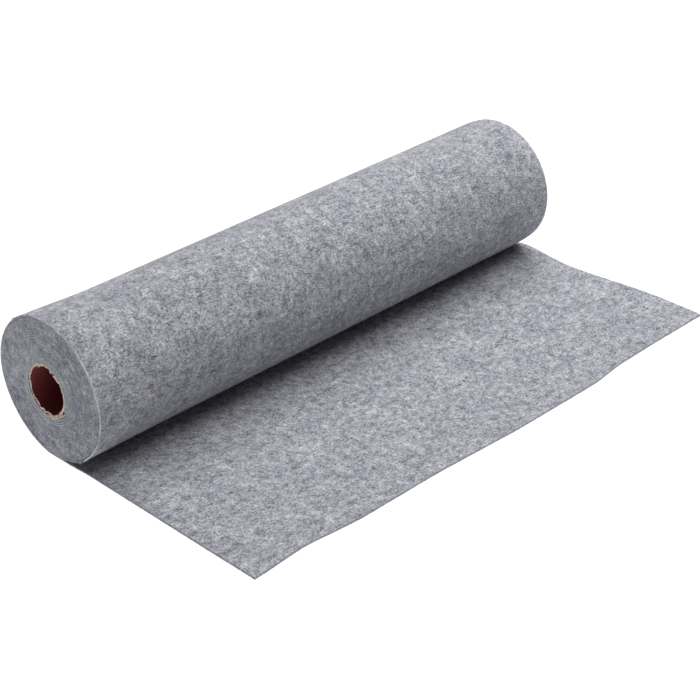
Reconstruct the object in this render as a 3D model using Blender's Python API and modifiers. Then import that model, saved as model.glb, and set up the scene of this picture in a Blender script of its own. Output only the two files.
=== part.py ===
# A roll of craft felt on a paper tube, lying down with its loose end drawn out in front.
# Metres. X runs along the roll, the loose end lies towards -Y, and the floor is z = 0.
# The origin is the point of the floor under the roll's axis, at the middle of the width.

import math

import bmesh
import bpy
import numpy as np

MM = 0.001

# Felt strip: one length of felt, all but its loose end wound on the tube
FELT_WIDTH = 450 * MM
FELT_THICKNESS = 1.5 * MM
FELT_LENGTH = 5.0
LOOSE_REACH = 198 * MM

# Paper tube
TUBE_BORE_RADIUS = 17.5 * MM
TUBE_WALL = 1.5 * MM
TUBE_LENGTH = 449 * MM
TUBE_OFFSET_Y = 4.35 * MM
TUBE_OFFSET_Z = -1.25 * MM
FIT_GAP = 0.3 * MM

# Wound form, worked out from the strip's length and the tube
TUBE_RADIUS = TUBE_BORE_RADIUS + TUBE_WALL
BORE_RADIUS = TUBE_RADIUS + FIT_GAP
WOUND_AREA = (FELT_LENGTH - LOOSE_REACH) * FELT_THICKNESS
MEAN_RADIUS = math.sqrt(BORE_RADIUS**2 + WOUND_AREA / math.pi)
FIRST_RADIUS = MEAN_RADIUS + FELT_THICKNESS / 2
SETTLE = 0.6 * MM
AXIS_HEIGHT = FIRST_RADIUS - SETTLE
FLAT_HALF_WIDTH = math.sqrt(FIRST_RADIUS**2 - AXIS_HEIGHT**2)
NIP_DEPTH = 12 * MM
ROLL_STEPS = 60

# Near end: the last turns stand a little open. Far end: the rim is drawn in.
FLARE = 2.0 * MM
FLARE_LENGTH = 62 * MM
FLARE_GROWS = (math.radians(30), math.radians(100))
FLARE_FADES = (math.radians(200), math.radians(360))
FLARE_STATIONS = (0.0, 0.15, 0.3, 0.45)
RIM_DRAWN_IN = 0.9 * MM
RIM_ROUND = 1.0 * MM
RIM_GROWS = (math.radians(9), math.radians(38))
RIM_LENGTH = 12 * MM
RIM_STATIONS = (0.0, 0.05, 0.12, 0.5)

# The strip's first end lies on the tube, with a small wedge of air beyond it
FIRST_END_ANGLE = math.radians(208)
FIRST_END_WEDGE = math.radians(26)
BORE_STEPS = 36

# Loose end: how far the scissor cut reaches in front of the axis, place by place across
CUT_LINE = (
    # across (mm), reach (mm)
    (-225, 196.2),
    (-181, 194.9),
    (-132, 197.5),
    (-60, 197.3),
    (-20, 199.0),
    (15, 200.5),
    (104, 200.5),
    (130, 198.1),
    (165, 199.4),
    (195, 200.9),
    (225, 201.7),
)
SHEET_ROWS = 13
SIDE_SHIFT_AT_ROLL = 1.1 * MM
SIDE_SHIFT_AT_CUT = -0.4 * MM
SIDE_SHIFT_GROWS_OVER = 25 * MM

# Where the loose end stands off the floor, in mm: x and y pairs are where a lift begins and is full
CORNER_LIFT = {"height": 6.2, "x": (85, 225), "y": (-58, -172)}
RIPPLE_LIFT = {"height": 1.5, "middle_x": -181, "width": 26, "y": (-140, -195)}
BULGE_LIFT = {"height": 3.6, "x": (60, 225), "middle_y": -30, "width": 28}
BULGE_CLEAR = 2.2  # the bulge is full this many nip depths in front of the axis


def smooth(value, low, high):
    # Soft rise from 0 at low to 1 at high
    part = min(max((value - low) / (high - low), 0.0), 1.0)
    return part * part * (3 - 2 * part)


def bell(value, middle, width):
    return math.exp(-(((value - middle) / width) ** 2))


def lift(x, y):
    # Height of the loose end's underside above the floor
    across, along = x / MM, y / MM
    corner = smooth(across, *CORNER_LIFT["x"]) * smooth(along, *CORNER_LIFT["y"])
    ripple = bell(across, RIPPLE_LIFT["middle_x"], RIPPLE_LIFT["width"]) * smooth(along, *RIPPLE_LIFT["y"])
    bulge = bell(along, BULGE_LIFT["middle_y"], BULGE_LIFT["width"]) * smooth(across, *BULGE_LIFT["x"])
    bulge *= smooth(y, -NIP_DEPTH, -BULGE_CLEAR * NIP_DEPTH)
    height = CORNER_LIFT["height"] * corner + RIPPLE_LIFT["height"] * ripple
    return (height + BULGE_LIFT["height"] * bulge) * MM


def reach(x):
    across, reaches = zip(*CUT_LINE)
    return float(np.interp(x / MM, across, reaches)) * MM


def side_shift(x, y):
    # The strip was drawn out a little askew
    grown = smooth(y, -NIP_DEPTH, -NIP_DEPTH - SIDE_SHIFT_GROWS_OVER)
    along = -y / reach(x)
    return grown * (SIDE_SHIFT_AT_ROLL + (SIDE_SHIFT_AT_CUT - SIDE_SHIFT_AT_ROLL) * along)


def roll_radius(x, turn):
    # The outer turn: its radius falls by one thickness in a full turn from the floor
    radius = FIRST_RADIUS - FELT_THICKNESS * turn / (2 * math.pi)
    from_near = x + FELT_WIDTH / 2
    share = smooth(turn, *FLARE_GROWS) * (1 - smooth(turn, *FLARE_FADES))
    radius += FLARE * share * (1 - smooth(from_near, 0.0, FLARE_LENGTH))
    from_far = FELT_WIDTH / 2 - x
    if from_far < RIM_LENGTH:
        drawn = RIM_DRAWN_IN * (1 - from_far / RIM_LENGTH) ** 2
        drawn += RIM_ROUND * (1 - smooth(from_far, -RIM_ROUND, RIM_ROUND))
        radius -= drawn * smooth(turn, *RIM_GROWS)
    return radius


def nip_turn(x):
    # The turn at which the roll's outside stands NIP_DEPTH in front of the axis
    turn = 2 * math.pi
    for _ in range(6):
        turn = 2 * math.pi - math.asin(NIP_DEPTH / roll_radius(x, turn))
    return turn


def felt_section(x):
    # One closed outline in the YZ plane: underside, round the roll, top of the loose end
    rows = [NIP_DEPTH + (reach(x) - NIP_DEPTH) * (k / SHEET_ROWS) ** 1.15 for k in range(SHEET_ROWS + 1)]
    points = [(x + side_shift(x, -row), -row, lift(x, -row)) for row in reversed(rows)]
    points.append((x, 0.0, 0.0))
    first_turn = math.asin(FLAT_HALF_WIDTH / FIRST_RADIUS)
    last_turn = nip_turn(x)
    for k in range(ROLL_STEPS + 1):
        turn = first_turn + (last_turn - first_turn) * k / ROLL_STEPS
        radius = roll_radius(x, turn)
        points.append((x, radius * math.sin(turn), AXIS_HEIGHT - radius * math.cos(turn)))
    points += [(x + side_shift(x, -row), -row, lift(x, -row) + FELT_THICKNESS) for row in rows]
    return points


def stations():
    # Where the sections stand along the roll, closest at the flare and at the far rim
    places = {across * MM for across, _ in CUT_LINE}
    places |= {-FELT_WIDTH / 2 + FLARE_LENGTH * part for part in FLARE_STATIONS}
    places |= {FELT_WIDTH / 2 - RIM_LENGTH * part for part in RIM_STATIONS}
    places.add(60 * MM)
    return sorted(places)


def loft(name, sections):
    # A closed solid through sections of equal count, with flat ends
    mesh = bpy.data.meshes.new(name)
    shape = bmesh.new()
    rings = [[shape.verts.new(point) for point in section] for section in sections]
    for ring, following in zip(rings, rings[1:]):
        for k in range(len(ring)):
            after = (k + 1) % len(ring)
            shape.faces.new((ring[k], ring[after], following[after], following[k]))
    shape.faces.new(list(reversed(rings[0])))
    shape.faces.new(rings[-1])
    bmesh.ops.recalc_face_normals(shape, faces=shape.faces)
    shape.to_mesh(mesh)
    shape.free()
    return bpy.data.objects.new(name, mesh)


def bore_section(x):
    # Round the tube, but for the wedge of air beyond the strip's first end
    points = []
    for k in range(BORE_STEPS):
        angle = FIRST_END_ANGLE + 2 * math.pi * k / BORE_STEPS
        beyond = angle - FIRST_END_ANGLE
        wedge = max(1 - beyond / FIRST_END_WEDGE, 0.0) ** 1.5
        if k == 0:
            points.append(around_tube(x, angle, BORE_RADIUS))
        points.append(around_tube(x, angle + 0.001, BORE_RADIUS + FELT_THICKNESS * wedge))
    return points


def around_tube(x, angle, radius):
    y = TUBE_OFFSET_Y + radius * math.cos(angle)
    z = AXIS_HEIGHT + TUBE_OFFSET_Z + radius * math.sin(angle)
    return (x, y, z)


def plain_material(name, colour, roughness):
    material = bpy.data.materials.new(name)
    material.use_nodes = True
    shader = material.node_tree.nodes["Principled BSDF"]
    shader.inputs["Base Color"].default_value = (*colour, 1)
    shader.inputs["Roughness"].default_value = roughness
    shader.inputs["Metallic"].default_value = 0
    return material


def make_felt(parts, cutters):
    felt = loft("felt", [felt_section(x) for x in stations()])
    parts.objects.link(felt)
    past_the_ends = FELT_WIDTH / 2 + 10 * MM
    bore = loft("felt_bore_cutter", [bore_section(x) for x in (-past_the_ends, past_the_ends)])
    bore.hide_render = True
    bore.display_type = "WIRE"
    cutters.objects.link(bore)
    cut = felt.modifiers.new("bore", "BOOLEAN")
    cut.object = bore
    cut.operation = "DIFFERENCE"
    cut.solver = "EXACT"
    felt.data.materials.append(plain_material("grey_felt", (0.36, 0.37, 0.41), 0.95))
    felt.data.shade_smooth()
    felt.data.set_sharp_from_angle(angle=math.radians(35))


def make_tube(parts):
    # An open cylinder, given its wall inwards
    bpy.ops.mesh.primitive_cylinder_add(
        vertices=BORE_STEPS,
        radius=TUBE_RADIUS,
        depth=TUBE_LENGTH,
        end_fill_type="NOTHING",
        location=(0, TUBE_OFFSET_Y, AXIS_HEIGHT + TUBE_OFFSET_Z),
        rotation=(0, math.pi / 2, 0),
    )
    tube = bpy.context.object
    tube.name = "core_tube"
    for collection in list(tube.users_collection):
        collection.objects.unlink(tube)
    parts.objects.link(tube)
    wall = tube.modifiers.new("wall", "SOLIDIFY")
    wall.thickness = TUBE_WALL
    wall.offset = -1
    tube.data.materials.append(plain_material("brown_paper_tube", (0.30, 0.11, 0.09), 0.8))
    tube.data.shade_smooth()
    tube.data.set_sharp_from_angle(angle=math.radians(35))


def main():
    for old in list(bpy.data.objects):
        bpy.data.objects.remove(old, do_unlink=True)
    parts = bpy.data.collections.new("felt_roll")
    cutters = bpy.data.collections.new("felt_roll_cutters")
    bpy.context.scene.collection.children.link(parts)
    bpy.context.scene.collection.children.link(cutters)
    make_felt(parts, cutters)
    make_tube(parts)


main()
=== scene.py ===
import math
import random

import bmesh
import bpy
import numpy as np
from mathutils import Matrix, Vector


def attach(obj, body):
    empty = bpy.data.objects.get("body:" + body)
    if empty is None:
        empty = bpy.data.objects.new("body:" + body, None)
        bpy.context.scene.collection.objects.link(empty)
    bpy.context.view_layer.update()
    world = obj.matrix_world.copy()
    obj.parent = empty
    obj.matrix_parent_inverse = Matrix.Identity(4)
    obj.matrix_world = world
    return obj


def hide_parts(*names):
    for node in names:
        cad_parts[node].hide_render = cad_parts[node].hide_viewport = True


mm = 0.001
fullTurn = 2 * math.pi

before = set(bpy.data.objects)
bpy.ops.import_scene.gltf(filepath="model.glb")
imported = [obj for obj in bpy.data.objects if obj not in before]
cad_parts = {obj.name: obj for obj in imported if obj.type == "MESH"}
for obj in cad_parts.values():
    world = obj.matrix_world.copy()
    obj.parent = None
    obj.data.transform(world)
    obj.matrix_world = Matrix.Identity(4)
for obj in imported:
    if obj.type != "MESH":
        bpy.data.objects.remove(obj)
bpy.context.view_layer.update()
print("frame loaded:", ", ".join(sorted(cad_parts)))


def smoothStep(value, low, high):  # 0 at low, 1 at high, soft at both
    part = np.clip((value - low) / (high - low), 0.0, 1.0)
    return part * part * (3 - 2 * part)


def bell(value, middle, width):
    return np.exp(-(((value - middle) / width) ** 2))


def deselectAll():
    if bpy.context.object and bpy.context.object.mode != "OBJECT":
        bpy.ops.object.mode_set(mode="OBJECT")
    bpy.ops.object.select_all(action="DESELECT")


def makeActive(piece):
    deselectAll()
    piece.select_set(True)
    bpy.context.view_layer.objects.active = piece


def applyModifiers(piece):
    makeActive(piece)
    for modifier in list(piece.modifiers):
        bpy.ops.object.modifier_apply(modifier=modifier.name)


def settlePlace(piece):  # the object goes to the origin, its place goes into its mesh
    makeActive(piece)
    bpy.ops.object.transform_apply(location=True, rotation=True, scale=True)


# Camera, fitted to the photo
lens = {
    "target": (-0.04688, -0.10174, 0.05),
    "azimuth": -45.007,
    "elevation": 30.189,
    "roll": -0.5,
    "distance": 1.35031,
    "focal": 101.65,
    "sensor": 36.0,
}


def makeCamera():
    turned = Matrix.Rotation(math.radians(lens["azimuth"]), 4, "Z")
    turned @= Matrix.Rotation(math.radians(90 - lens["elevation"]), 4, "X")
    turned @= Matrix.Rotation(math.radians(lens["roll"]), 4, "Z")
    place = Vector(lens["target"]) + turned.to_3x3() @ Vector((0, 0, lens["distance"]))
    bpy.ops.object.camera_add()
    camera = bpy.context.object
    camera.name = "photoCamera"
    camera.matrix_world = Matrix.Translation(place) @ turned
    camera.data.lens = lens["focal"]
    camera.data.sensor_width = lens["sensor"]
    bpy.context.scene.camera = camera


# Shader helpers: each makes one node at a place in the tree and gives back what it puts out
def addNode(tree, kind, at, **settings):
    made = tree.nodes.new(kind)
    made.location = at
    for name, value in settings.items():
        if hasattr(made, name):
            setattr(made, name, value)
        else:
            made.inputs[name].default_value = value
    return made


def give(tree, socket, given):  # given is a socket, a colour or a number
    if isinstance(given, bpy.types.NodeSocket):
        tree.links.new(given, socket)
    elif isinstance(given, tuple):
        socket.default_value = (*given, 1)
    else:
        socket.default_value = given


def noiseOf(tree, at, place, **settings):
    noise = addNode(tree, "ShaderNodeTexNoise", at, **settings)
    tree.links.new(place, noise.inputs["Vector"])
    return noise.outputs["Fac"]


def laidPlace(tree, at, place, stretch, turns=(0, 0, 0)):
    laid = addNode(tree, "ShaderNodeMapping", at, Scale=stretch, Rotation=turns)
    tree.links.new(place, laid.inputs["Vector"])
    return laid.outputs["Vector"]


def mathOf(tree, at, operation, *terms):
    node = addNode(tree, "ShaderNodeMath", at, operation=operation)
    for socket, term in zip(node.inputs, terms):
        give(tree, socket, term)
    return node.outputs["Value"]


def spanOf(tree, at, source, given=(0.0, 1.0), wanted=(0.0, 1.0)):
    span = addNode(tree, "ShaderNodeMapRange", at)
    for name, value in zip(("From Min", "From Max", "To Min", "To Max"), (*given, *wanted)):
        span.inputs[name].default_value = value
    tree.links.new(source, span.inputs["Value"])
    return span.outputs["Result"]


def rampOf(tree, at, source, stops):
    ramp = addNode(tree, "ShaderNodeValToRGB", at)
    elements = ramp.color_ramp.elements
    for element, (place, colour) in zip(elements, (stops[0], stops[-1])):
        element.position = place
        element.color = (*colour, 1)
    for place, colour in stops[1:-1]:
        elements.new(place).color = (*colour, 1)
    tree.links.new(source, ramp.inputs["Fac"])
    return ramp.outputs["Color"]


def mixOf(tree, at, kind, amount, first, second, blend="MIX"):
    mix = addNode(tree, "ShaderNodeMix", at, data_type=kind, blend_type=blend)
    shown = [socket for socket in mix.inputs if socket.enabled]
    for socket, given in zip(shown, (amount, first, second)):
        give(tree, socket, given)
    return next(socket for socket in mix.outputs if socket.enabled)


def bumpInto(tree, shader, at, height, strength, depth):
    bump = addNode(tree, "ShaderNodeBump", at, Strength=strength, Distance=depth)
    tree.links.new(height, bump.inputs["Height"])
    tree.links.new(bump.outputs["Normal"], shader.inputs["Normal"])


def newMaterial(name):
    material = bpy.data.materials.new(name)
    material.use_nodes = True
    tree = material.node_tree
    shader = tree.nodes["Principled BSDF"]
    shader.location = (900, 0)
    return material, tree, shader


# Heather: light and dark fibres felted together, a little cloudy, with a few long dark hairs
heather = {
    "contrast": 0.67,
    "flecksPerMetre": 170,
    "fleckShare": 2.6,
    "wispsPerMetre": 900,
    "wispShare": 1.7,
    "wispStretch": (0.6, 1.1, 1.1),
    "wispTurns": ((0.3, 0.4, 0.25), (-0.3, 0.5, 1.5)),
    "hairsPerMetre": 640,
    "hairStretch": (0.22, 1.0, 1.0),
    "hairTurns": ((0.0, 0.3, 0.2), (0.2, 0.1, 1.3), (0.4, -0.1, 2.4)),
    "hairFrom": (0.66, 0.74),
    "hairDarkness": 0.5,
    "cloudsPerMetre": 42,
    "fuzzPerMetre": 2600,
    "fuzzHeight": 0.35,
}


def makeHeatherGroup():
    group = bpy.data.node_groups.new("heather", "ShaderNodeTree")
    face = group.interface
    face.new_socket("Place", in_out="INPUT", socket_type="NodeSocketVector")
    contrast = face.new_socket("Contrast", in_out="INPUT", socket_type="NodeSocketFloat")
    contrast.default_value = heather["contrast"]
    for name in ("Tone", "Cloud", "Height"):
        face.new_socket(name, in_out="OUTPUT", socket_type="NodeSocketFloat")
    given = addNode(group, "NodeGroupInput", (-1200, 0))
    out = addNode(group, "NodeGroupOutput", (900, 0))
    place = given.outputs["Place"]

    fleckScale = heather["flecksPerMetre"]
    flecks = noiseOf(group, (-700, 300), place, Scale=fleckScale, Detail=7.0, Roughness=0.78, Distortion=0.3)
    share = heather["fleckShare"]
    total = mathOf(group, (-450, 300), "MULTIPLY_ADD", flecks, share, -share / 2)
    for k, turns in enumerate(heather["wispTurns"]):
        row = -100 - 300 * k
        laid = laidPlace(group, (-950, row), place, heather["wispStretch"], turns)
        wisps = noiseOf(group, (-700, row), laid, Scale=heather["wispsPerMetre"], Detail=3.0, Roughness=0.6)
        share = heather["wispShare"]
        total = mathOf(group, (-450, row), "MULTIPLY_ADD", wisps, share, total)
        total = mathOf(group, (-250, row), "SUBTRACT", total, share / 2)
    for k, turns in enumerate(heather["hairTurns"]):
        row = -1100 - 300 * k
        laid = laidPlace(group, (-950, row), place, heather["hairStretch"], turns)
        hair = noiseOf(group, (-700, row), laid, Scale=heather["hairsPerMetre"], Detail=1.5, Distortion=1.2)
        dark = spanOf(group, (-450, row), hair, heather["hairFrom"], (0.0, heather["hairDarkness"]))
        total = mathOf(group, (-250, row), "SUBTRACT", total, dark)
    tone = mathOf(group, (0, 100), "MULTIPLY_ADD", total, given.outputs["Contrast"], 0.5)

    clouds = noiseOf(group, (-700, 650), place, Scale=heather["cloudsPerMetre"], Detail=3.0, Roughness=0.5)
    fine = noiseOf(group, (-700, -800), place, Scale=heather["fuzzPerMetre"], Detail=2.0)
    height = mathOf(group, (200, -400), "MULTIPLY_ADD", fine, heather["fuzzHeight"], tone)
    for name, source in (("Tone", tone), ("Cloud", clouds), ("Height", height)):
        group.links.new(source, out.inputs[name])
    return group


# Felt: tones run from dark to pale fibres, colours of patches and cut ends multiply them
greyFelt = {
    "tones": (
        (0.0, (0.085, 0.09, 0.105)),
        (0.3, (0.22, 0.225, 0.255)),
        (0.5, (0.345, 0.35, 0.392)),
        (0.68, (0.465, 0.468, 0.515)),
        (1.0, (0.7, 0.705, 0.765)),
    ),
    "patches": ((0.38, (1.0, 0.998, 1.01)), (0.62, (0.995, 1.0, 0.975))),
    "cloudSpan": (0.3, 0.7),
    "cloudShade": (0.84, 1.13),
    "turnTonesPerMetre": 70.0,
    "turnToneSpan": (0.3, 0.7),
    "turnShade": (0.92, 1.06),
    "cutEnds": (0.985, 0.99, 1.03),
    "nearCore": (0.45, 0.475, 0.475),
    # the lip colour: paler fibres and a painted highlight along the proud edge of the outermost turn
    "lip": (0.96, 0.98, 0.98),
    "lipWearAndGlintPerMetre": 260.0,
    "lipWearAndGlintSpan": (0.3, 0.6),
    "lipLeast": 0.62,
    "lipEdge": (0.38, 0.6),
    "roughness": (0.86, 1.0),
    "bumpStrength": 0.55,
    "bumpDepth": 0.35 * mm,
    "sheen": 0.22,
    "sheenRoughness": 0.45,
    "specular": 0.25,
}


def makeFeltMaterial(heatherGroup):
    material, tree, shader = newMaterial("greyFelt")
    strip = addNode(tree, "ShaderNodeUVMap", (-1500, 200), uv_map="stripMap").outputs["UV"]
    solid = addNode(tree, "ShaderNodeTexCoord", (-1500, -50)).outputs["Object"]
    masks = {}
    for k, name in enumerate(("cutEdge", "lip", "nearCore", "turnTone")):
        mask = addNode(tree, "ShaderNodeAttribute", (-1500, -350 - 180 * k), attribute_name=name)
        masks[name] = mask.outputs["Fac"]
    place = mixOf(tree, (-1200, 100), "VECTOR", masks["cutEdge"], strip, solid)
    fibres = addNode(tree, "ShaderNodeGroup", (-950, 100), node_tree=heatherGroup)
    tree.links.new(place, fibres.inputs["Place"])
    tone, cloud = fibres.outputs["Tone"], fibres.outputs["Cloud"]

    colour = rampOf(tree, (-700, 250), tone, greyFelt["tones"])
    patch = rampOf(tree, (-700, -50), cloud, greyFelt["patches"])
    colour = mixOf(tree, (-400, 200), "RGBA", 1.0, colour, patch, "MULTIPLY")
    shade = spanOf(tree, (-700, -300), cloud, greyFelt["cloudSpan"], greyFelt["cloudShade"])
    colour = mixOf(tree, (-200, 200), "RGBA", 1.0, colour, shade, "MULTIPLY")

    # The cut ends: each turn has its own tone, and the turns pressed on the core are paler
    perTurn = addNode(
        tree,
        "ShaderNodeTexNoise",
        (-950, -500),
        noise_dimensions="1D",
        Scale=greyFelt["turnTonesPerMetre"],
        Detail=2.0,
    )
    tree.links.new(masks["turnTone"], perTurn.inputs["W"])
    streak = spanOf(
        tree, (-700, -550), perTurn.outputs["Fac"], greyFelt["turnToneSpan"], greyFelt["turnShade"]
    )
    ends = mixOf(tree, (0, 0), "RGBA", 1.0, colour, streak, "MULTIPLY")
    ends = mixOf(tree, (100, 0), "RGBA", 1.0, ends, greyFelt["cutEnds"], "MULTIPLY")
    colour = mixOf(tree, (200, 200), "RGBA", masks["cutEdge"], colour, ends)
    pressed = mathOf(tree, (0, -200), "MULTIPLY", masks["nearCore"], tone)
    colour = mixOf(tree, (400, 200), "RGBA", pressed, colour, greyFelt["nearCore"])

    # The outermost turn's lip, painted near white: paler fibres and a painted highlight where its edge
    # catches the light, both broken up in places by noise
    wearAndGlint = noiseOf(tree, (200, -500), solid, Scale=greyFelt["lipWearAndGlintPerMetre"], Detail=3.0)
    wearAndGlint = spanOf(tree, (400, -500), wearAndGlint, greyFelt["lipWearAndGlintSpan"], (greyFelt["lipLeast"], 1.0))
    lip = mathOf(tree, (600, -500), "MULTIPLY", masks["lip"], wearAndGlint)
    lip = spanOf(tree, (800, -500), lip, greyFelt["lipEdge"])
    colour = mixOf(tree, (600, 200), "RGBA", lip, colour, greyFelt["lip"])

    tree.links.new(colour, shader.inputs["Base Color"])
    rough = spanOf(tree, (400, -200), tone, wanted=greyFelt["roughness"])
    tree.links.new(rough, shader.inputs["Roughness"])
    height = fibres.outputs["Height"]
    bumpInto(tree, shader, (600, -350), height, greyFelt["bumpStrength"], greyFelt["bumpDepth"])
    shader.inputs["Sheen Weight"].default_value = greyFelt["sheen"]
    shader.inputs["Sheen Roughness"].default_value = greyFelt["sheenRoughness"]
    shader.inputs["Specular IOR Level"].default_value = greyFelt["specular"]
    return material


# The strip: one length of felt, wound on the tube but for its loose end. A turn is counted from
# the floor under the axis, towards the back, over the top and down the front.
felt = {
    "halfWidth": 225 * mm,
    "thickness": 1.5 * mm,
    "length": 5.0,
    "looseReach": 198 * mm,
    "looseRun": 200 * mm,
    "boreRadius": 19.3 * mm,
    "settle": 0.6 * mm,
    "flatWithin": 0.5,  # the floor flattens turns whose cosine is above this
    "shadeAngle": math.radians(50),
    "lastTurns": 20,  # whole turns, then round to the first end on the tube
    "lastAngle": math.radians(298),
    "closes": (math.radians(26), math.radians(14)),  # how soon the next turns close over that end
    "coreShift": (4.35 * mm, -1.25 * mm),
    "airBetween": 0.01 * mm,
    "airVaries": 0.02 * mm,
    "plumpest": 1.6 * mm,
    "pressedUnder": 0.08 * mm,
    "pressedFrom": (-22 * mm, -9 * mm),
    "edgeRounds": ((0.0, 0.28 * mm), (0.15 * mm, 0.08 * mm), (0.45 * mm, 0.0)),
    "innerEdgeRounds": 0.04,  # share of that rounding on the turns inside
    "edgeWanders": 0.05 * mm,
    "edgeWandersIn": 8 * mm,
    "flare": 2.0 * mm,
    "flareLength": 62 * mm,
    "flareGrows": (math.radians(30), math.radians(100)),
    "flareFades": (math.radians(200), math.radians(360)),
    "rimDrawnIn": 0.9 * mm,
    "rimRound": 1.0 * mm,
    "rimLength": 12 * mm,
    "rimGrows": (math.radians(9), math.radians(38)),
    "lipFrom": (math.radians(140), math.radians(185)),
    "lipTo": (math.radians(316), math.radians(334)),
    "lipProud": 0.45 * mm,
    "lipWidth": 0.8 * mm,
    "lipInside": 0.15,
    "lipTurnsOut": 0.22 * mm,
    "shiftAtRoll": 1.1 * mm,
    "shiftAtCut": -0.4 * mm,
    "nipDepth": 12 * mm,
    "shiftGrowsOver": 25 * mm,
    "bulgeClear": 2.2,  # the bulge is full this many nip depths in front of the axis
    "evenFrom": (8, 17),  # layers over the first end, where its step has faded out
    "nearCore": (0.66, 0.9),
}

# Rows along the strip and columns across it, closest at the cut edges
stripGrid = {
    "fineSteps": (0, 0.15, 0.45, 1.2, 2.5, 4.5, 7.5, 11.5, 16.5, 22.5, 28.5, 35.5, 42.5, 50, 57.5),
    "coarseSteps": (0, 0.15, 0.45, 2.5, 7.5, 16.5, 28.5, 42.5, 57.5),
    "middle": (-160, 160),
    "middleColumns": 47,
    "coarseEvery": 23,
    "cutRows": (0.0, 0.15, 0.45, 1.2, 3),
    "looseRowEvery": 5 * mm,
    "outerStep": math.radians(3),
    "innerStep": math.radians(7.5),
    "fineUntil": fullTurn + math.radians(30),
}

wound = (felt["length"] - felt["looseReach"]) * felt["thickness"]
firstRadius = math.sqrt(felt["boreRadius"] ** 2 + wound / math.pi) + felt["thickness"] / 2
axisHeight = firstRadius - felt["settle"]
lastTurn = felt["lastTurns"] * fullTurn + felt["lastAngle"]

cutLine = (  # across, how far the scissor cut reaches in front of the axis, in mm
    (-225, 196.2),
    (-181, 194.9),
    (-132, 197.5),
    (-60, 197.3),
    (-20, 199.0),
    (15, 200.5),
    (104, 200.5),
    (130, 198.1),
    (165, 199.4),
    (195, 200.9),
    (225, 201.7),
)
# Where the loose end stands off the floor, in mm: x and y pairs are where a lift begins and is full
cornerLift = {"height": 6.2, "x": (85, 225), "y": (-58, -172)}
rippleLift = {"height": 1.5, "middleX": -181, "width": 26, "y": (-140, -195)}
bulgeLift = {"height": 3.6, "x": (60, 225), "middleY": -30, "width": 28}


def looseLift(x, y):  # height of the loose end's underside above the floor
    across, along = x / mm, y / mm
    corner = smoothStep(across, *cornerLift["x"]) * smoothStep(along, *cornerLift["y"])
    ripple = bell(across, rippleLift["middleX"], rippleLift["width"]) * smoothStep(along, *rippleLift["y"])
    bulge = bell(along, bulgeLift["middleY"], bulgeLift["width"]) * smoothStep(across, *bulgeLift["x"])
    bulge = bulge * smoothStep(y, -felt["nipDepth"], -felt["bulgeClear"] * felt["nipDepth"])
    height = cornerLift["height"] * corner + rippleLift["height"] * ripple
    return (height + bulgeLift["height"] * bulge) * mm


def cutReach(x):
    across, reaches = zip(*cutLine)
    return np.interp(x / mm, across, reaches) * mm


def sideShift(x, y):  # the loose end was drawn out a little askew
    grown = smoothStep(y, -felt["nipDepth"], -felt["nipDepth"] - felt["shiftGrowsOver"])
    return grown * (felt["shiftAtRoll"] + (felt["shiftAtCut"] - felt["shiftAtRoll"]) * -y / cutReach(x))


def turnRadius(turn):  # outside of the strip
    if turn <= fullTurn:
        return firstRadius - felt["thickness"] * turn / fullTurn
    if turn > lastTurn:
        return felt["boreRadius"]
    secondRadius = firstRadius - felt["thickness"]
    pitch = (secondRadius - felt["boreRadius"]) / ((lastTurn - fullTurn) / fullTurn + 1)
    left = (lastTurn - turn) / fullTurn
    whole = math.floor(left)
    passed = (1 - (left - whole)) * fullTurn
    close, slower = felt["closes"]
    stepped = max(1 - passed / min(close + slower * whole, fullTurn), 0.0) ** 1.5
    even = float(smoothStep(whole, *felt["evenFrom"]))
    layers = whole + stepped * (1 - even) + (1 - passed / fullTurn) * even
    return felt["boreRadius"] + pitch * (1 + layers)


def inwardShare(turn):  # 0 on the outer turn, 1 at the first end
    return min(max((turn - fullTurn) / (lastTurn - fullTurn), 0.0), 1.0)


def woundPlace(turn, x):  # y and z of the strip's outside at a turn, across the width
    inward = inwardShare(turn)
    angle = turn % fullTurn
    opened = smoothStep(angle, *felt["flareGrows"]) * (1 - smoothStep(angle, *felt["flareFades"]))
    opened = opened * (1 - smoothStep(x + felt["halfWidth"], 0.0, felt["flareLength"]))
    fromFar = felt["halfWidth"] - x
    drawn = felt["rimDrawnIn"] * np.clip(1 - fromFar / felt["rimLength"], 0, 1) ** 2
    drawn = drawn + felt["rimRound"] * (1 - smoothStep(fromFar, -felt["rimRound"], felt["rimRound"]))
    drawn = drawn * smoothStep(turn, *felt["rimGrows"])
    radius = turnRadius(turn) + (felt["flare"] * opened - drawn) * (1 - inward)
    if math.cos(turn) > felt["flatWithin"]:  # the weight of the roll flattens it on the floor
        flat = (turnRadius(turn) - felt["settle"] * (1 - inward)) / math.cos(turn)
        radius = np.minimum(radius, flat)
    shiftY, shiftZ = felt["coreShift"]
    y = shiftY * inward + radius * math.sin(turn)
    z = axisHeight + shiftZ * inward - radius * math.cos(turn)
    return y, z


def columnsAcross(steps, middle):
    near = [-felt["halfWidth"] + step * mm for step in steps]
    return np.array(near + [float(x) * mm for x in middle] + [-place for place in reversed(near)])


def looseRows(columns):  # from the scissor cut to the floor under the axis
    starts = [row * mm for row in stripGrid["cutRows"]]
    left = felt["looseRun"] - starts[-1]
    count = round(left / stripGrid["looseRowEvery"])
    starts += [starts[-1] + left * k / count for k in range(1, count)]
    rows = []
    for along in starts:
        y = -cutReach(columns) * (1 - along / felt["looseRun"])
        x = columns + sideShift(columns, y)
        z = looseLift(columns, y)
        thick = felt["thickness"] - felt["pressedUnder"] * smoothStep(y, *felt["pressedFrom"])
        rows.append(
            {
                "columns": columns,
                "out": np.stack([x, y, z], 1),
                "in": np.stack([x, y, z + thick], 1),
                "along": along,
                "turn": 0.0,
                "lip": np.zeros(len(columns)),
            }
        )
    return rows


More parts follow.
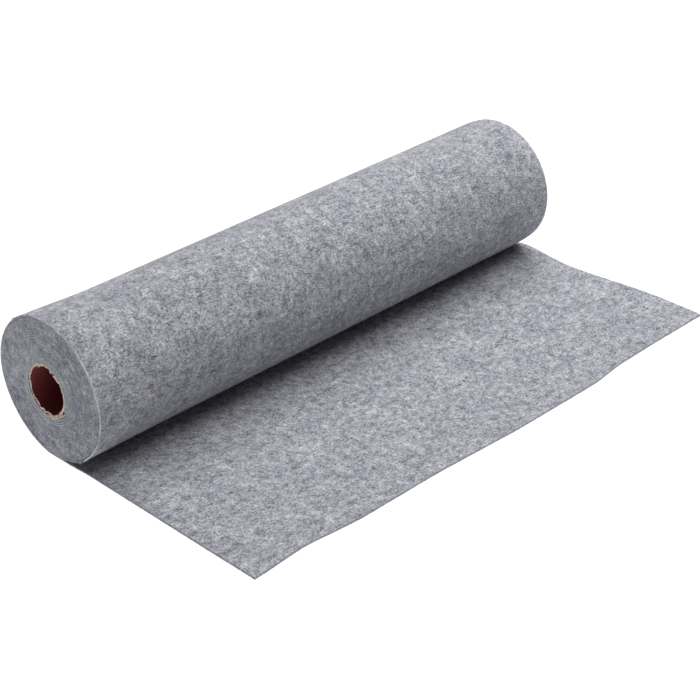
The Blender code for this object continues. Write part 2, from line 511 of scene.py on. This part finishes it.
def woundRow(turn, columns, along):
    y, z = woundPlace(turn, columns)
    nextY, nextZ = woundPlace(turn + fullTurn, columns)
    varies = 0.5 + 0.5 * math.sin(1.7 * turn + 2 * math.sin(0.61 * turn))
    gap = felt["airBetween"] + felt["airVaries"] * varies
    between = np.hypot(nextY - y, nextZ - z)
    through = np.minimum(between - gap, felt["plumpest"]) / between
    wander = felt["edgeWanders"] * (math.sin(0.37 * turn + 1.3) + 0.6 * math.sin(1.13 * turn))
    wander *= float(smoothStep(turn, 0.3, 1.2))
    half = felt["halfWidth"]
    x = columns + wander * smoothStep(abs(columns), half - felt["edgeWandersIn"], half)
    lip = smoothStep(turn, *felt["lipFrom"]) * (1 - smoothStep(turn, *felt["lipTo"]))
    lip = lip * (0.8 + 0.2 * math.sin(9 * turn) * math.sin(4.3 * turn + 1))
    lip = lip * (1 - smoothStep(columns + half, 0.0, felt["lipWidth"]))
    x = x - felt["lipProud"] * lip
    turnedOut = felt["lipTurnsOut"] * lip
    return {
        "columns": columns,
        "out": np.stack([x, y + turnedOut * math.sin(turn), z - turnedOut * math.cos(turn)], 1),
        "in": np.stack([x, y + (nextY - y) * through, z + (nextZ - z) * through], 1),
        "along": along,
        "turn": turn,
        "lip": lip,
    }


def stripRows():
    middle = np.linspace(*stripGrid["middle"], stripGrid["middleColumns"])
    fine = columnsAcross(stripGrid["fineSteps"], middle)
    coarse = columnsAcross(stripGrid["coarseSteps"], middle[:: stripGrid["coarseEvery"]])
    rows = looseRows(fine)
    turn, along = 0.0, felt["looseRun"]
    tiny = 1e-6
    while True:
        columns = fine if turn <= stripGrid["fineUntil"] + tiny else coarse
        rows.append(woundRow(turn, columns, along))
        if turn >= lastTurn:
            return rows
        outer = turn < stripGrid["fineUntil"] - tiny
        step = min(stripGrid["outerStep" if outer else "innerStep"], lastTurn - turn)
        along += step * turnRadius(turn)
        turn += step


def roundEdges(rows):  # both faces draw together at the cut edges
    distances, insets = zip(*felt["edgeRounds"])
    for row in rows:
        fromSide = felt["halfWidth"] - abs(row["columns"])
        fromEnd = min(row["along"] - rows[0]["along"], rows[-1]["along"] - row["along"])
        edge = np.maximum(np.interp(fromSide, distances, insets), np.interp(fromEnd, distances, insets))
        inset = edge * (1 if row["turn"] < fullTurn else felt["innerEdgeRounds"])
        through = row["in"] - row["out"]
        through /= np.linalg.norm(through, axis=1)[:, None]
        row["out"] = row["out"] + through * inset[:, None]
        row["in"] = row["in"] - through * inset[:, None]
        row["edge"] = edge / insets[0]


def joinRows(shape, row, after, side):  # a fine row meets a coarse one with wider faces
    first, second = row[side], after[side]
    at = [int(np.argmin(abs(row["columns"] - column))) for column in after["columns"]]
    for k in range(len(second) - 1):
        shape.faces.new((*first[at[k] : at[k + 1] + 1], second[k + 1], second[k]))


def cutFace(row, after):  # the four corners of one face of a cut edge, in order
    return ((row, "outVerts"), (after, "outVerts"), (after, "inVerts"), (row, "inVerts"))


def makeStrip(material):
    rows = stripRows()
    roundEdges(rows)
    shape = bmesh.new()
    names = ("cutEdge", "lip", "nearCore", "turnTone")
    layers = {name: shape.verts.layers.float.new(name) for name in names}
    places = {}
    for row in rows:
        near = float(smoothStep(inwardShare(row["turn"]), *felt["nearCore"]))
        # the lip attribute places the paler fibres and the painted highlight of the lip, faintly on the
        # inside face
        for side, lipShare in (("out", 1), ("in", felt["lipInside"])):
            row[side + "Verts"] = []
            for k, point in enumerate(row[side]):
                vert = shape.verts.new(point)
                values = (row["edge"][k], row["lip"][k] * lipShare, near, row["along"])
                for name, value in zip(names, values):
                    vert[layers[name]] = value
                places[vert] = (row["columns"][k], row["along"])
                row[side + "Verts"].append(vert)
    for row, after in zip(rows, rows[1:]):
        for side in ("outVerts", "inVerts"):
            joinRows(shape, row, after, side)
        corners = [shown[side] for shown, side in cutFace(row, after)]
        for k in (0, -1):
            shape.faces.new([side[k] for side in corners])
    for row in (rows[0], rows[-1]):
        out, inner = row["outVerts"], row["inVerts"]
        for k in range(len(out) - 1):
            shape.faces.new((out[k], out[k + 1], inner[k + 1], inner[k]))
    bmesh.ops.recalc_face_normals(shape, faces=shape.faces)
    stripMap = shape.loops.layers.uv.new("stripMap")
    for polygon in shape.faces:
        for corner in polygon.loops:
            corner[stripMap].uv = places[corner.vert]
    mesh = bpy.data.meshes.new("felt_strip")
    shape.to_mesh(mesh)
    shape.free()
    strip = bpy.data.objects.new("felt_strip", mesh)
    bpy.context.scene.collection.objects.link(strip)
    makeActive(strip)
    bpy.ops.object.shade_smooth_by_angle(angle=felt["shadeAngle"])
    strip.data.materials.append(material)
    print("felt strip:", len(mesh.polygons), "faces,", round(rows[-1]["along"], 3), "m long")
    return strip


# Paper tube, its rims torn and the near one splayed out at the bottom
paperTube = {
    "outerRadius": 19.0 * mm,
    "wall": 1.5 * mm,
    "length": 449 * mm,
    "sides": 144,
    "rimCuts": (0.5 * mm, 1.2 * mm, 3 * mm, 8 * mm),
    "lipAngle": math.radians(243),  # middle of the splayed stretch, from +Y towards +Z
    "lipSpread": math.radians(30),
    "lipOut": 2.3 * mm,
    "lipDepth": 0.1 * mm,
    "ragged": 3.4 * mm,
    "raggedSize": 3.2 * mm,
    "raggedDepth": 1.3 * mm,
    "tears": (("ragged", "X", 1.0), ("frayed", "Y", 0.6), ("nicked", "Z", 0.6)),
    "rawDepth": 2 * mm,
    "rawFacing": 0.55,
    "shadeAngle": math.radians(40),
    "insidePulpPerMetre": 900.0,
    "insideFibresPerMetre": 1500.0,
    "insideStretch": (0.15, 1.0, 1.0),
    "insideRoughness": (0.6, 0.85),
    "insideBump": (0.4, 0.1 * mm),
    "rawPulpPerMetre": 700.0,
    "rawRoughness": 0.9,
    "rawBump": (0.6, 0.2 * mm),
    "inside": ((0.3, (0.12, 0.019, 0.02)), (0.5, (0.22, 0.036, 0.038)), (0.75, (0.3, 0.068, 0.062))),
    "raw": ((0.28, (0.25, 0.16, 0.11)), (0.42, (0.75, 0.54, 0.44)), (0.65, (0.92, 0.78, 0.68))),
}


def makeInsidePaper():
    material, tree, shader = newMaterial("brownTubePaper")
    where = addNode(tree, "ShaderNodeTexCoord", (-1100, 0)).outputs["Object"]
    pulpScale = paperTube["insidePulpPerMetre"]
    pulp = noiseOf(tree, (-700, 200), where, Scale=pulpScale, Detail=4.0, Roughness=0.7)
    laid = laidPlace(tree, (-900, -200), where, paperTube["insideStretch"])
    fibre = noiseOf(tree, (-700, -200), laid, Scale=paperTube["insideFibresPerMetre"], Detail=2.0)
    colour = rampOf(tree, (-400, 200), pulp, paperTube["inside"])
    rough = spanOf(tree, (-400, -50), pulp, wanted=paperTube["insideRoughness"])
    tree.links.new(colour, shader.inputs["Base Color"])
    tree.links.new(rough, shader.inputs["Roughness"])
    bumpInto(tree, shader, (-200, -250), fibre, *paperTube["insideBump"])
    return material


def makeRawPaper():
    material, tree, shader = newMaterial("rawCutPaper")
    where = addNode(tree, "ShaderNodeTexCoord", (-1100, 0)).outputs["Object"]
    pulpScale = paperTube["rawPulpPerMetre"]
    pulp = noiseOf(tree, (-700, 200), where, Scale=pulpScale, Detail=4.0, Roughness=0.7)
    tree.links.new(rampOf(tree, (-400, 200), pulp, paperTube["raw"]), shader.inputs["Base Color"])
    bumpInto(tree, shader, (-200, -250), pulp, *paperTube["rawBump"])
    shader.inputs["Roughness"].default_value = paperTube["rawRoughness"]
    return material


def openTube(centre):  # a cylinder without ends, cut into rings near its rims and given its wall
    deselectAll()
    bpy.ops.mesh.primitive_cylinder_add(
        vertices=paperTube["sides"],
        radius=paperTube["outerRadius"],
        depth=paperTube["length"],
        end_fill_type="NOTHING",
        location=centre,
        rotation=(0, math.pi / 2, 0),
    )
    tube = bpy.context.object
    tube.name = tube.data.name = "paper_tube"
    settlePlace(tube)
    bpy.ops.object.mode_set(mode="EDIT")
    for cut in paperTube["rimCuts"]:
        for side in (-1, 1):
            ring = (side * (paperTube["length"] / 2 - cut), 0, 0)
            bpy.ops.mesh.select_all(action="SELECT")
            bpy.ops.mesh.bisect(plane_co=ring, plane_no=(1, 0, 0))
    bpy.ops.object.mode_set(mode="OBJECT")
    wall = tube.modifiers.new("wall", "SOLIDIFY")
    wall.thickness = paperTube["wall"]
    wall.offset = -1
    applyModifiers(tube)
    return tube


def tearRims(tube, centre):
    rim = tube.vertex_groups.new(name="rim")
    splayed = tube.vertex_groups.new(name="splayed")
    for vert in tube.data.vertices:
        fromEnd = paperTube["length"] / 2 - abs(vert.co.x)
        rim.add([vert.index], 1 - float(smoothStep(fromEnd, 0.0, paperTube["raggedDepth"])), "REPLACE")
        up, back = vert.co.z - centre[2], vert.co.y - centre[1]
        outer = math.hypot(up, back) > paperTube["outerRadius"] - paperTube["wall"] / 2
        if vert.co.x < 0 and outer and fromEnd < paperTube["lipDepth"]:
            near = bell(math.atan2(up, back) % fullTurn, paperTube["lipAngle"], paperTube["lipSpread"])
            splayed.add([vert.index], float(near), "REPLACE")
    lip = tube.modifiers.new("splayedLip", "DISPLACE")
    lip.vertex_group = "splayed"
    lip.direction = "NORMAL"
    lip.mid_level = 0.0
    lip.strength = paperTube["lipOut"]
    ragged = bpy.data.textures.new("raggedCut", "CLOUDS")
    ragged.noise_scale = paperTube["raggedSize"]
    ragged.noise_depth = 2
    for name, direction, strength in paperTube["tears"]:
        torn = tube.modifiers.new(name, "DISPLACE")
        torn.texture = ragged
        torn.texture_coords = "LOCAL"
        torn.vertex_group = "rim"
        torn.direction = direction
        torn.mid_level = 0.5
        torn.strength = paperTube["ragged"] * strength
    applyModifiers(tube)


def makePaperTube(insidePaper, rawPaper):
    centre = (0, felt["coreShift"][0], axisHeight + felt["coreShift"][1])
    tube = openTube(centre)
    tearRims(tube, centre)
    tube.data.materials.append(insidePaper)
    tube.data.materials.append(rawPaper)
    rawFrom = paperTube["length"] / 2 - paperTube["rawDepth"]
    for polygon in tube.data.polygons:
        if abs(polygon.normal.x) > paperTube["rawFacing"] and abs(polygon.center.x) > rawFrom:
            polygon.material_index = 1
    makeActive(tube)
    bpy.ops.object.shade_smooth_by_angle(angle=paperTube["shadeAngle"])
    print("paper tube:", len(tube.data.polygons), "faces")
    return tube


# Fuzz: loose fibres that stand out of the cut edges and off the faces
fuzz = {
    "seed": 7,
    "length": (0.5 * mm, 1.7 * mm),
    "radius": 0.035 * mm,
    "rooted": 0.1 * mm,
    "sides": 3,
    "scatter": 0.55,
    "onLip": 1500,
    "onRims": 1300,
    "onCut": 700,
    "onSides": 500,
    "onFaces": 2600,
    "shareOnRoll": 0.62,
    "proudOnLip": 0.3 * mm,
    "outwardsOnLip": (0.2, 0.8),  # 0 leans along the roll, 1 away from its axis
    "outwardsOnRims": (0.1, 0.9),
    "turnsOnRims": (0.5, fullTurn - 0.3),
    "turnsOnFaces": (0.6, fullTurn - 0.4),
    "riseOnCut": (-0.2, 0.8),
    "riseOnSides": (-0.1, 0.8),
    "throughEdges": (0.3, 0.95),
    "sidesReach": (20, 195),  # mm in front of the axis
    "facesReach": (25, 193),
    "bend": (0.2, 0.9),
    "rings": ((0.0, 1.0), (0.5, 0.85)),  # share of the length, share of the radius
    "shadesPerMetre": 300.0,
    "roughness": 0.8,
    "sheen": 0.3,
    "colours": ((0.35, (0.25, 0.255, 0.28)), (0.5, (0.62, 0.63, 0.66)), (0.7, (0.82, 0.83, 0.84))),
}


def makeFuzzMaterial():
    material, tree, shader = newMaterial("looseFibre")
    where = addNode(tree, "ShaderNodeTexCoord", (-700, 0)).outputs["Object"]
    kind = noiseOf(tree, (-500, 0), where, Scale=fuzz["shadesPerMetre"], Detail=1.0)
    tree.links.new(rampOf(tree, (-250, 0), kind, fuzz["colours"]), shader.inputs["Base Color"])
    shader.inputs["Roughness"].default_value = fuzz["roughness"]
    shader.inputs["Sheen Weight"].default_value = fuzz["sheen"]
    return material


def rootOnRoll(turn, x, outwards, proud=0.0):
    y, z = woundPlace(turn, np.array([x]))
    side = Vector((math.copysign(1, x), 0, 0))
    away = Vector((0, math.sin(turn), -math.cos(turn)))
    return Vector((x, y[0], z[0])) + side * proud, side * (1 - outwards) + away * outwards


def rootOnLoose(x, y, way, raised):  # raised is the share of the thickness below the root
    xs, ys = np.array([x]), np.array([y])
    shifted = x + float(sideShift(xs, ys)[0])
    return Vector((shifted, y, float(looseLift(xs, ys)[0]) + felt["thickness"] * raised)), way


def fuzzRoots(draw):  # where fibres stand, and the way each leans
    half = felt["halfWidth"]
    roots = []
    for _ in range(fuzz["onLip"]):
        turn = draw.uniform(felt["lipFrom"][0], felt["lipTo"][1])
        roots.append(rootOnRoll(turn, -half, draw.uniform(*fuzz["outwardsOnLip"]), fuzz["proudOnLip"]))
    for _ in range(fuzz["onRims"]):
        turn = draw.uniform(*fuzz["turnsOnRims"])
        x = draw.choice((-half, half))
        roots.append(rootOnRoll(turn, x, draw.uniform(*fuzz["outwardsOnRims"])))
    for _ in range(fuzz["onCut"]):
        x = draw.uniform(-half, half)
        y = -float(cutReach(np.array([x]))[0])
        way = Vector((0, -1, draw.uniform(*fuzz["riseOnCut"])))
        roots.append(rootOnLoose(x, y, way, draw.uniform(*fuzz["throughEdges"])))
    for _ in range(fuzz["onSides"]):
        x = draw.choice((-half, half))
        y = -draw.uniform(*fuzz["sidesReach"]) * mm
        way = Vector((math.copysign(1, x), 0, draw.uniform(*fuzz["riseOnSides"])))
        roots.append(rootOnLoose(x, y, way, draw.uniform(*fuzz["throughEdges"])))
    for _ in range(fuzz["onFaces"]):
        if draw.random() < fuzz["shareOnRoll"]:
            turn = draw.uniform(*fuzz["turnsOnFaces"])
            roots.append(rootOnRoll(turn, draw.uniform(-half, half), 1.0))
        else:
            x = draw.uniform(-half, half)
            y = -draw.uniform(*fuzz["facesReach"]) * mm
            roots.append(rootOnLoose(x, y, Vector((0, 0, 1)), 1.0))
    return roots


def makeFuzz(material):
    draw = random.Random(fuzz["seed"])
    verts, faces = [], []
    sides = fuzz["sides"]
    for root, way in fuzzRoots(draw):
        way = (way.normalized() + Vector([draw.gauss(0, fuzz["scatter"]) for _ in range(3)])).normalized()
        lean = way.cross(Vector([draw.gauss(0, 1) for _ in range(3)])).normalized()
        cross = way.cross(lean)
        length = draw.uniform(*fuzz["length"])
        bend = draw.uniform(*fuzz["bend"]) * length
        start = len(verts)
        for part, girth in fuzz["rings"]:
            sunk = 0.0 if part else fuzz["rooted"]
            middle = root + way * (length * part - sunk) + lean * (bend * part * part)
            for k in range(sides):
                angle = fullTurn * k / sides
                aside = lean * math.cos(angle) + cross * math.sin(angle)
                verts.append(middle + aside * fuzz["radius"] * girth)
        verts.append(root + way * length + lean * bend)
        for k in range(sides):
            after = (k + 1) % sides
            faces.append((start + k, start + after, start + sides + after, start + sides + k))
            faces.append((start + sides + k, start + sides + after, start + 2 * sides))
        faces.append(tuple(start + k for k in reversed(range(sides))))
    for point in verts:  # none reaches under the floor
        point.z = max(point.z, fuzz["radius"])
    mesh = bpy.data.meshes.new("felt_fuzz")
    mesh.from_pydata([tuple(point) for point in verts], [], faces)
    mesh.validate()
    hairs = bpy.data.objects.new("felt_fuzz", mesh)
    bpy.context.scene.collection.objects.link(hairs)
    hairs.data.materials.append(material)
    hairs.data.shade_smooth()
    print("fuzz:", len(mesh.polygons), "faces")
    return hairs


# Studio: a floor that glows a little, so that it stays pale under the roll, a broad soft lamp
# overhead and a dim room
studio = {
    "floorSize": 120.0,
    "floorDrop": 0.2 * mm,
    "floorColour": (0.14, 0.14, 0.14),
    "floorRoughness": 0.9,
    "floorGlow": 1.0,
    "roomColour": (1.0, 1.0, 1.0),
    "roomStrength": 0.12,
    "keyPlace": (1.0, 0.12, 1.85),
    "keySize": 2.6,
    "keyPower": 72.0,
    "keyAim": (0.0, -0.05, 0.0),
}


def makeFloor():
    deselectAll()
    bpy.ops.mesh.primitive_plane_add(size=studio["floorSize"], location=(0, 0, -studio["floorDrop"]))
    floor = bpy.context.object
    floor.name = "studio_floor"
    settlePlace(floor)
    material, _, shader = newMaterial("paleFloor")
    shader.inputs["Base Color"].default_value = (*studio["floorColour"], 1)
    shader.inputs["Roughness"].default_value = studio["floorRoughness"]
    shader.inputs["Emission Color"].default_value = (1, 1, 1, 1)
    shader.inputs["Emission Strength"].default_value = studio["floorGlow"]
    floor.data.materials.append(material)


def makeLight():
    bpy.ops.object.light_add(type="AREA", location=studio["keyPlace"])
    key = bpy.context.object
    key.name = "overheadSoftbox"
    key.data.shape = "DISK"
    key.data.size = studio["keySize"]
    key.data.energy = studio["keyPower"]
    aim = Vector(studio["keyAim"]) - Vector(studio["keyPlace"])
    key.rotation_euler = aim.to_track_quat("-Z", "Y").to_euler()
    world = bpy.data.worlds.new("dimRoom")
    bpy.context.scene.world = world
    world.use_nodes = True
    background = world.node_tree.nodes["Background"]
    background.inputs["Color"].default_value = (*studio["roomColour"], 1)
    background.inputs["Strength"].default_value = studio["roomStrength"]
    bpy.context.scene.view_settings.view_transform = "Standard"


makeCamera()
makeFloor()
makeLight()
print("camera and studio ready")

strip = makeStrip(makeFeltMaterial(makeHeatherGroup()))
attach(strip, "root")
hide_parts("felt")

tube = makePaperTube(makeInsidePaper(), makeRawPaper())
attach(tube, "root")
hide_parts("core_tube")

hairs = makeFuzz(makeFuzzMaterial())
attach(hairs, "root")

print("all pieces made")
